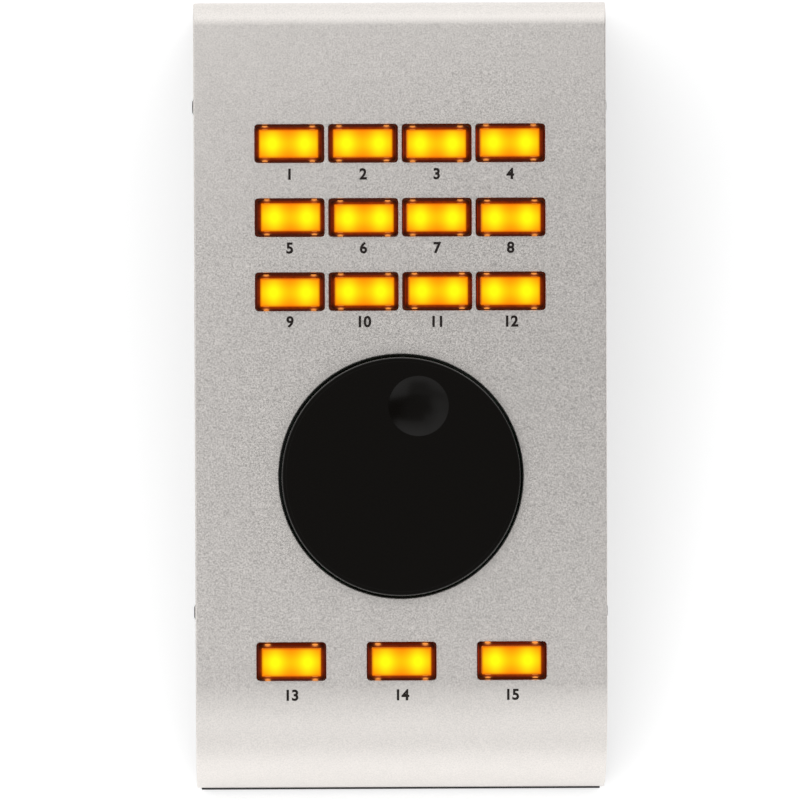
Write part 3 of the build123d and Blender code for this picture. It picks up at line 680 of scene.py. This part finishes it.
frame_seat = frame_under + frame_round
frame_profile = [(0, 0, frame_under), (-frame_round, 1, frame_under), (0, 1, frame_seat)]
frame_profile += [(-inset, 1, frame_top - depth) for depth, inset in eased_edge(frame_round, 3)]
frame_profile += [
    (frame_lip - frame_rim - inset, 1, frame_top - depth) for inset, depth in eased_edge(frame_lip, 2)
]
frame_profile += [(-frame_rim, 1, frame_floor), (-frame_rim, 0, frame_floor)]
lens_profile = [(0, 0, lens_under), (0, 1, lens_under)]
lens_profile += [(-inset, 1, lens_top - depth) for depth, inset in eased_edge(lens_round, 3)]
lens_profile += [(-lens_round, 0, lens_top)]
stem_profile, tab_profile = block(stem_under, frame_seat), block(lens_under, tab_top)

for number in range(1, len(key_openings) + 1):
    key = f"key_{number:02d}"
    low, high = panel_box(f"key_cap_{number:02d}")
    key_spot = panel_in_mm @ Matrix.Translation(((low.x + high.x) / 2, (low.y + high.y) / 2, 0))
    smoked = together(
        stacked(frame_profile, frame_size, frame_steps, key_smoke),
        stacked(stem_profile, stem_size, stem_steps, key_smoke),
    )
    amber = together(stacked(lens_profile, lens_size, lens_steps, key_amber), *[
        stacked(tab_profile, tab_size, tab_steps, key_amber, middle=(side * tab_offset, 0, 0))
        for side in (-1, 1)
    ])
    show(f"frame_{number:02d}", plain_mesh("frame", smoked, key_smoke, key_spot),
         key, "key_smoke", f"key_cap_{number:02d}")
    show(f"lens_{number:02d}", plain_mesh("lens", amber, key_amber, key_spot),
         key, "key_amber", f"key_lens_{number:02d}")


# Encoder: a tinned can under the board with a turned brass neck, steel shaft, washer and nut.
# The wheel's brass hub is held on the shaft's flat by a grub screw.
encoder_case = metal("encoder_case", (0.42, 0.42, 0.43), (0.64, 0.64, 0.64), 0.34, 1.0)
turned_brass = metal("turned_brass", (0.58, 0.4, 0.14), (0.82, 0.63, 0.29), 0.3, 0.5)
ground_steel = metal("ground_steel", (0.5, 0.5, 0.51), (0.72, 0.72, 0.72), 0.22, 0.4)
dress("encoder_body", encoder_case)
dress("encoder_bushing", turned_brass)
dress("wheel_hub", turned_brass)
dress("encoder_washer", zinc_plate)
dress("hub_screw", zinc_plate)
dress("encoder_nut", nickel_plate)
dress("encoder_shaft", ground_steel)


# Jog wheel: one satin black moulding with a bevelled edge, a round dimple for a fingertip and a
# skirt that reaches down through the cover. Its boss is pressed over the hub.
wheel_radius, wheel_top, wheel_steps = 28.7, 2.6, 32
wheel_bevel_width, wheel_bevel_drop, wheel_edge = 1.0, 0.05, 0.32
groove_half, groove_depth = 0.05, 0.03
wheel_skirt_under, skirt_ease, wheel_inside, wheel_ceiling = -5.0, 0.2, 26.5, -1.4
boss_radius, boss_under, hub_pocket, hub_top = 8.0, -6.4, 5.5, -0.4
dimple_radius, dimple_depth, dimple_round = 7.25, 1.8, 0.3
dimple_offset, dimple_angle = 17.5, radians(76)
bowl_steps, brow_steps, flat_steps, edge_steps = 12, 5, 8, 5


def satin_black(start):
    texture_size, texture_depth, texture_strength, cloud_size = 0.16, 0.006, 0.3, 9.0
    edge_slope = 8
    texture = speckle(start, texture_size)
    clouds = speckle(start, cloud_size)
    place = own_place(start)
    reach = start.math("SQRT", place.out("X") ** 2 + place.out("Y") ** 2)
    return {
        "Base Color": shades(start, texture, (0.0024, 0.0018, 0.0012), (0.0046, 0.0038, 0.003)),
        "Roughness": 0.18 + texture * 0.04 + clouds * 0.04,
        "Coat Weight": ((reach - (wheel_radius - wheel_edge)) * edge_slope).clamped(),
        "Normal": relief(start, texture, texture_depth, texture_strength),
    }


wheel_black = finish("wheel_black", {
    "Specular IOR Level": 0.135, "Coat Roughness": 0.2,
}, satin_black)
dimple_ball = (dimple_radius ** 2 + dimple_depth ** 2) / (2 * dimple_depth)
ball_height = wheel_top + dimple_ball - dimple_depth
brow_height = wheel_top - dimple_round
brow_radius = sqrt((dimple_ball + dimple_round) ** 2 - (ball_height - brow_height) ** 2)
bowl_turn = atan2(brow_radius, ball_height - brow_height)
wheel_rings = []
for step in range(bowl_steps + 1):
    turn = bowl_turn * step / bowl_steps
    height = ball_height - dimple_ball * cos(turn)
    wheel_rings.append((dimple_ball * sin(turn), height, dimple_offset))
for step in range(1, brow_steps + 1):
    turn = bowl_turn * (1 - step / brow_steps)
    height = brow_height + dimple_round * cos(turn)
    wheel_rings.append((brow_radius - dimple_round * sin(turn), height, dimple_offset))
flat_radius = wheel_radius - wheel_bevel_width
flat_reach = flat_radius - 2 * groove_half - brow_radius
for step in range(1, flat_steps + 1):
    share = step / flat_steps
    wheel_rings.append((brow_radius + flat_reach * share, wheel_top, dimple_offset * (1 - share)))
wheel_rings += [
    (flat_radius - groove_half, wheel_top - groove_depth, 0),
    (flat_radius + groove_half, wheel_top - groove_depth, 0),
]
edge_top = wheel_top - wheel_bevel_drop
wheel_rings += [
    (wheel_radius - inset, edge_top - depth, 0) for inset, depth in eased_edge(wheel_edge, edge_steps)
]
wheel_rings += [
    (radius, height, 0) for radius, height in (
        (wheel_radius, wheel_skirt_under + skirt_ease), (wheel_radius - skirt_ease, wheel_skirt_under),
        (wheel_inside, wheel_skirt_under), (wheel_inside, wheel_ceiling),
        (boss_radius, wheel_ceiling), (boss_radius, boss_under),
        (hub_pocket, boss_under), (hub_pocket, hub_top), (0, hub_top),
    )
]
wheel_profile = [(0, radius / wheel_radius, height, shift) for radius, height, shift in wheel_rings]
wheel_shape = stacked(
    wheel_profile, disc(wheel_radius), wheel_steps, wheel_black,
    shift_way=(cos(dimple_angle), sin(dimple_angle), 0),
)
wheel_cap = plain_mesh("jog_wheel_cap", wheel_shape, wheel_black)
show("jog_wheel_cap", wheel_cap, "wheel", "wheel_black", "jog_wheel")


# Rear sockets: a tin plated USB shell round its black insulator and gold plated contacts, and a
# moulded foot switch jack with leaf springs. Both hang under the board, flush with the rear wall.
usb_tin = metal("usb_tin", (0.55, 0.55, 0.54), (0.78, 0.78, 0.77), 0.22, 1.4)
contact_gold = metal("contact_gold", (0.72, 0.5, 0.16), (0.92, 0.72, 0.32), 0.2, 0.5)
spring_bronze = metal("spring_bronze", (0.55, 0.48, 0.36), (0.76, 0.7, 0.58), 0.28, 0.6)
socket_black = plastic("socket_black", (0.011, 0.011, 0.011), (0.026, 0.026, 0.026), 0.42, 0.3)
dress("usb_shell", usb_tin)
dress("usb_insulator", socket_black)
dress("usb_contacts", contact_gold)
dress("jack_body", socket_black)
dress("jack_contacts", spring_bronze)


# Tray: a steel sheet folded up into two cheeks that close the case from below, just inside the
# cover. It is powder coated black, and the side screws go through its cheeks.
def powder_coated(start):
    peel_size, peel_depth, peel_strength, fleck_size = 0.7, 0.03, 0.5, 0.2
    orange_peel = speckle(start, peel_size)
    fleck = speckle(start, fleck_size, detail=1)
    return {
        "Base Color": shades(start, fleck, (0.012, 0.012, 0.0125), (0.03, 0.03, 0.031)),
        "Roughness": 0.42 + orange_peel * 0.14,
        "Normal": relief(start, orange_peel, peel_depth, peel_strength),
    }


tray_black = finish("tray_black", {}, powder_coated)
dress("base_tray", tray_black)


# Feet and edge strips: four soft rubber discs stuck under the tray's corners, each moulded with a
# rounded lower edge and a shallow ring, and a flat strip cut from rubber sheet under each end.
def spread_tree():
    """Tree that sets a copy of one shape at each point, turned to face that point's way."""
    tree = bpy.data.node_groups.new("spread", "GeometryNodeTree")
    face = tree.interface
    face.new_socket("Places", in_out="INPUT", socket_type="NodeSocketGeometry")
    face.new_socket("Shape", in_out="INPUT", socket_type="NodeSocketObject")
    face.new_socket("Finish", in_out="INPUT", socket_type="NodeSocketMaterial")
    face.new_socket("Set", in_out="OUTPUT", socket_type="NodeSocketGeometry")
    start = Wire(tree)
    given = start.node("NodeGroupInput")
    facing = start.node("GeometryNodeInputNamedAttribute", {"data_type": "FLOAT_VECTOR"}, {
        "Name": "facing",
    })
    copy = start.node("GeometryNodeObjectInfo", {"transform_space": "ORIGINAL"}, {
        "Object": given.out("Shape"),
    }, output="Geometry")
    points = start.node("GeometryNodeMeshToPoints", None, {"Mesh": given.out("Places")})
    turned = start.node("FunctionNodeAlignRotationToVector", {"axis": "Z"}, {"Vector": facing})
    copies = start.node("GeometryNodeInstanceOnPoints", None, {
        "Points": points, "Instance": copy, "Rotation": turned,
    })
    copies = start.node("GeometryNodeRealizeInstances", None, {"Geometry": copies})
    copies = start.node("GeometryNodeSetMaterial", None, {
        "Geometry": copies, "Material": given.out("Finish"),
    })
    start.node("NodeGroupOutput", None, {"Set": copies})
    return tree


copies_tree = spread_tree()


def spread(shape, places, material):
    """Copies of a worked shape in millimetres, at pairs of place and facing in metres."""
    mesh = bpy.data.meshes.new("shape")
    shape.to_mesh(mesh)
    shape.free()
    mesh.transform(Matrix.Scale(mm, 4))
    pattern = bpy.data.objects.new("shape", mesh)
    bpy.context.scene.collection.objects.link(pattern)
    points = bpy.data.meshes.new("places")
    points.from_pydata([place for place, facing in places], [], [])
    column = points.attributes.new("facing", "FLOAT_VECTOR", "POINT")
    column.data.foreach_set("vector", [value for place, facing in places for value in facing])
    made = worked(points, copies_tree, shape=pattern, finish=material)
    bpy.data.objects.remove(pattern)
    copies = bmesh.new()
    copies.from_mesh(made)
    bpy.data.meshes.remove(made)
    return copies


foot_rubber = plastic("foot_rubber", (0.012, 0.012, 0.012), (0.03, 0.03, 0.03), 0.72, 0.35)
foot_radius, foot_height, foot_round, foot_steps = 6.0, 2.5, 0.6, 10
ring_outside, ring_inside, ring_wall, ring_depth = 4.2, 3.0, 0.2, 0.15
foot_sizes = [(0, foot_height), (foot_radius, foot_height)]
foot_sizes += [(foot_radius - inset, depth) for inset, depth in reversed(eased_edge(foot_round, 4))]
foot_sizes += [
    (ring_outside, 0), (ring_outside - ring_wall, ring_depth),
    (ring_inside + ring_wall, ring_depth), (ring_inside, 0), (0, 0),
]
foot_profile = [(0, radius / foot_radius, height) for radius, height in foot_sizes]
feet_low, feet_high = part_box("rubber_feet")
foot_places = [
    ((x, y, 0), (0, 0, 1))
    for x in (feet_low.x + foot_radius * mm, feet_high.x - foot_radius * mm)
    for y in (feet_low.y + foot_radius * mm, feet_high.y - foot_radius * mm)
]
foot_shape = stacked(foot_profile, disc(foot_radius), foot_steps, foot_rubber)
feet = spread(foot_shape, foot_places, foot_rubber)
show("feet", plain_mesh("feet", feet, foot_rubber, Matrix()), "chassis", "foot_rubber", "rubber_feet")
dress("edge_strips", foot_rubber)


# Side screws: black oxide button heads with a hex socket, two through each cheek of the tray
# into the brackets. They stand just proud of the cover's edge.
screw_black = metal(
    "screw_black", (0.012, 0.012, 0.013), (0.035, 0.034, 0.034), 0.34, 0.6, metallic=0.6,
)
head_radius, head_height, head_rim, head_ease, head_steps = 2.85, 1.65, 0.55, 0.1, 9
thread_radius, thread_under, thread_lead = 1.5, -5.0, 0.3
socket_flats, socket_depth, socket_ease_drop, mouth_share = 2.0, 1.0, 0.06, 1.05
dome_steps = 6
dome_drop = head_height - head_rim
dome_ball = (head_radius ** 2 + dome_drop ** 2) / (2 * dome_drop)
socket_radius = socket_flats / 2 / cos(pi / 6)
socket_floor = head_height - socket_depth
screw_rings = [
    (0, thread_under, 0), (thread_radius - thread_lead, thread_under, 0),
    (thread_radius, thread_under + thread_lead, 0), (thread_radius, 0, 0),
    (head_radius - head_ease, 0, 0), (head_radius, head_ease, 0),
]
for step in range(dome_steps + 1):
    radius = head_radius + (socket_radius * mouth_share - head_radius) * step / dome_steps
    screw_rings.append((radius, head_height - dome_ball + sqrt(dome_ball ** 2 - radius ** 2), 0))
socket_mouth = screw_rings[-1][1]
screw_rings += [
    (socket_radius, socket_mouth - socket_ease_drop, 1), (socket_radius, socket_floor, 1),
    (0, socket_floor, 1),
]
screw_profile = [(0, radius / head_radius, height, 0, flats) for radius, height, flats in screw_rings]
screw_shape = stacked(screw_profile, disc(head_radius), head_steps, screw_black)
screw_depth, screw_rows = -8.5, (89.0, -32.93)
cheek = 48.5
screw_places = [
    (panel_in_mm @ Vector((side * cheek, row, screw_depth)), (side, 0, 0))
    for row in screw_rows for side in (-1, 1)
]
screws = spread(screw_shape, screw_places, screw_black)
screw_mesh = plain_mesh("screws", screws, screw_black, Matrix())
show("screws", screw_mesh, "chassis", "screw_black", "side_screws")


# Numbers: screen printed under each key in a brown black ink, on the flat of the panel and,
# for the front row, on the start of the bend.
def printed_ink(start):
    edge = speckle(start, 0.25)
    return {
        "Base Color": shades(start, edge, (0.008, 0.005, 0.004), (0.02, 0.013, 0.01)),
        "Roughness": 0.5 + edge * 0.15,
    }


ink = finish("printed_ink", {"Specular IOR Level": 0.25}, printed_ink)
figure_height, figure_weight, figure_steps = 3.6, 0.12, 6
ink_thickness, ink_lift = 0.02, 0.02
number_drops = {4.5: 7.5, 3.5: 7.45, 2.5: 7.4, -2.5: 8.3}


def wrapped(across, along, above):
    """Point on the printed face, carried round the front bend where it lies past its start."""
    turn = max(0, bend_start - along) / front_bend
    flat = max(along, bend_start)
    reach = front_bend + above
    return Vector((across, flat - reach * sin(turn), reach * cos(turn) - front_bend))


print_shape = bmesh.new()
number = 0
for row, columns in key_columns.items():
    for column in columns:
        number += 1
        figures = bpy.data.curves.new("figures", "FONT")
        figures.body = str(number)
        figures.size, figures.offset, figures.extrude = figure_height, figure_weight, ink_thickness
        figures.align_x, figures.align_y = "CENTER", "CENTER"
        figures.resolution_u = figure_steps
        carrier = bpy.data.objects.new("figures", figures)
        bpy.context.scene.collection.objects.link(carrier)
        seen = bpy.context.evaluated_depsgraph_get()
        flat_mesh = bpy.data.meshes.new_from_object(carrier.evaluated_get(seen))
        bpy.data.objects.remove(carrier)
        across, along = column * key_grid_across, row * key_grid_along - number_drops[row]
        for vertex in flat_mesh.vertices:
            x, y, z = vertex.co
            vertex.co = wrapped(across + x, along + y, ink_lift + z)
        print_shape.from_mesh(flat_mesh)
        bpy.data.meshes.remove(flat_mesh)
show("key_numbers", plain_mesh("key_numbers", print_shape, ink), "chassis", None)


# Stage: a plain white floor inside a light tent. Low panels hang round a gap left for the lens,
# the tent glows at the front and rear, and a long lens looks down nearly square to the panel.
def pale_floor(start):
    clouds = speckle(start, 400.0)
    return {"Base Color": shades(start, clouds, (0.9, 0.9, 0.9), (0.94, 0.94, 0.94))}


floor_white = finish("floor_white", {
    "Roughness": 0.9, "Specular IOR Level": 0.0,
    "Emission Color": (1, 1, 1, 1), "Emission Strength": 0.4,
}, pale_floor)
floor_half = 6.0
floor_corners = [(x * floor_half, y * floor_half, 0) for x, y in ((-1, -1), (1, -1), (1, 1), (-1, 1))]
floor_mesh = bpy.data.meshes.new("floor")
floor_mesh.from_pydata(floor_corners, [], [(0, 1, 2, 3)])
floor_mesh.materials.append(floor_white)
floor = bpy.data.objects.new("floor", floor_mesh)
bpy.context.scene.collection.objects.link(floor)

tent_panels = {
    "rear_left_panel": ((-0.18, 0.16, 0.3), (0.28, 0.3), 0.6),
    "rear_panel": ((0.1, 0.2, 0.3), (0.28, 0.26), 0.75),
    "left_panel": ((-0.23, -0.1, 0.3), (0.26, 0.24), 0.4),
    "front_left_panel": ((-0.26, -0.26, 0.3), (0.3, 0.22), 1.0),
    "front_right_panel": ((0.26, -0.26, 0.3), (0.3, 0.22), 1.35),
    "near_front_panel": ((0, -0.26, 0.3), (0.22, 0.2), 0.5),
    "front_panel": ((0.06, -0.49, 0.3), (0.84, 0.26), 0.95),
}
for name, (place, (width, depth), brightness) in tent_panels.items():
    light = bpy.data.lights.new(name, "AREA")
    light.shape, light.size, light.size_y = "RECTANGLE", width, depth
    light.energy = brightness * pi * width * depth
    hung = bpy.data.objects.new(name, light)
    hung.location = place
    hung.visible_camera = False
    bpy.context.scene.collection.objects.link(hung)

world = bpy.data.worlds.new("tent")
bpy.context.scene.world = world
world.use_nodes = True
air = Wire(world.node_tree)
way = air.node("ShaderNodeSeparateXYZ", None, {
    0: air.node("ShaderNodeTexCoord", output="Generated"),
})


def beyond(axis, edge, width):
    """Rises from nought to one where the way along an axis passes an edge of that width."""
    return ((way.out(axis) - edge) / width + 0.5).clamped()


low, high = beyond("Z", 0.5, -0.2), beyond("Z", 0.87, 0.15)
rear, front, left = beyond("Y", 0.4, 0.4), beyond("Y", -0.4, -0.4), beyond("X", 0, -0.1)
low_base, low_rear, low_front, high_base = 0.4, 0.78, 0.42, 0.33
middle_base, middle_rear, middle_left = 0.1, 0.85, 0.7
beside = (1 - rear) * (1 - front)
glow = low * (low_base + rear * low_rear + front * low_front) + high * high_base
glow += (1 - low) * (1 - high) * (middle_base + rear * middle_rear + beside * left * middle_left)
glow = air.node("ShaderNodeCombineColor", {"mode": "RGB"}, {"Red": glow, "Green": glow, "Blue": glow})
world.node_tree.links.new(glow.socket, world.node_tree.nodes["Background"].inputs["Color"])

bpy.context.scene.view_settings.view_transform = "Standard"
lean_left, lean_back, roll = radians(0.8), radians(1.35), radians(-0.2)
aim_across, aim_along, camera_distance = -0.18, 18.36, 2.0
aim = panel_in_mm @ Vector((aim_across, aim_along, 0))
back = panel_place.to_3x3() @ Vector((
    -sin(lean_left), sin(lean_back) * cos(lean_left), cos(lean_back) * cos(lean_left),
))
lens = bpy.data.cameras.new("camera")
lens.lens, lens.sensor_width = 374.2, 36
lens.clip_start, lens.clip_end = 0.1, 20
camera = bpy.data.objects.new("camera", lens)
camera.location = aim + back * camera_distance
right = up_slope.cross(back).normalized()
turned = Matrix((right, back.cross(right), back)).transposed() @ Matrix.Rotation(roll, 3, "Z")
camera.rotation_euler = turned.to_euler()
bpy.context.scene.collection.objects.link(camera)
bpy.context.scene.camera = camera
